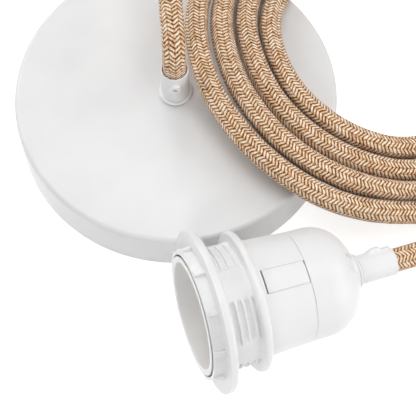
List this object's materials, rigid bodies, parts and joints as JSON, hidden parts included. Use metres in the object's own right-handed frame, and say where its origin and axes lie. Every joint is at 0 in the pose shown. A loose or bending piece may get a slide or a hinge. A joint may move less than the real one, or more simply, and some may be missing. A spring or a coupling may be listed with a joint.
{
  "type": "pendant light kit",
  "caption": "White ceiling rose and threaded lamp holder joined by a coiled herringbone textile cord, laid on a flat surface ready to hang from a ceiling.",
  "frame": {"origin": "middle of the mounting bracket's underside, on the ceiling plane, which is also the surface that the kit lies on", "axes": "+Z out of the rose's face, away from the ceiling; X along the lamp holder with its mouth towards -X"},
  "size_m": [0.2065, 0.1715, 0.0629],
  "materials": {
    "white_enamel": "satin",
    "white_plastic": "satin",
    "cream_plastic": "matt",
    "zinc_plated_steel": "satin",
    "brass": "satin",
    "textile_cord": "woven herringbone",
    "brown_core": "satin",
    "blue_core": "satin",
    "green_core": "satin"
  },
  "bodies": {
    "root": {"centre_contact": "brass", "contact_carrier": "cream_plastic", "cord_coil": "textile_cord", "cord_holder_end": "textile_cord", "cord_rose_end": "textile_cord", "cover_screw_1": "zinc_plated_steel", "cover_screw_2": "zinc_plated_steel", "dome_cap": "white_plastic", "earth_screw": "zinc_plated_steel", "holder_body": "white_plastic", "holder_cord_grip": "white_plastic", "holder_cord_grip_screw": "zinc_plated_steel", "holder_core_live": "brown_core", "holder_core_neutral": "blue_core", "mounting_bracket": "zinc_plated_steel", "rose_cord_grip": "white_plastic", "rose_cord_grip_screw": "zinc_plated_steel", "rose_core_earth": "green_core", "rose_core_live": "brown_core", "rose_core_neutral": "blue_core", "rose_cover": "white_enamel", "rose_lock_nut": "brass", "rose_washer": "zinc_plated_steel", "screw_shell": "brass", "shade_ring": "white_plastic", "side_contact": "brass", "terminal_block": "cream_plastic", "terminal_clamp_1": "brass", "terminal_clamp_2": "brass", "terminal_clamp_3": "brass", "terminal_live": "brass", "terminal_live_screw": "zinc_plated_steel", "terminal_neutral": "brass", "terminal_neutral_screw": "zinc_plated_steel", "terminal_screw_1": "zinc_plated_steel", "terminal_screw_2": "zinc_plated_steel", "terminal_screw_3": "zinc_plated_steel", "terminal_screw_4": "zinc_plated_steel", "terminal_screw_5": "zinc_plated_steel", "terminal_screw_6": "zinc_plated_steel"}
  },
  "joints": []
}
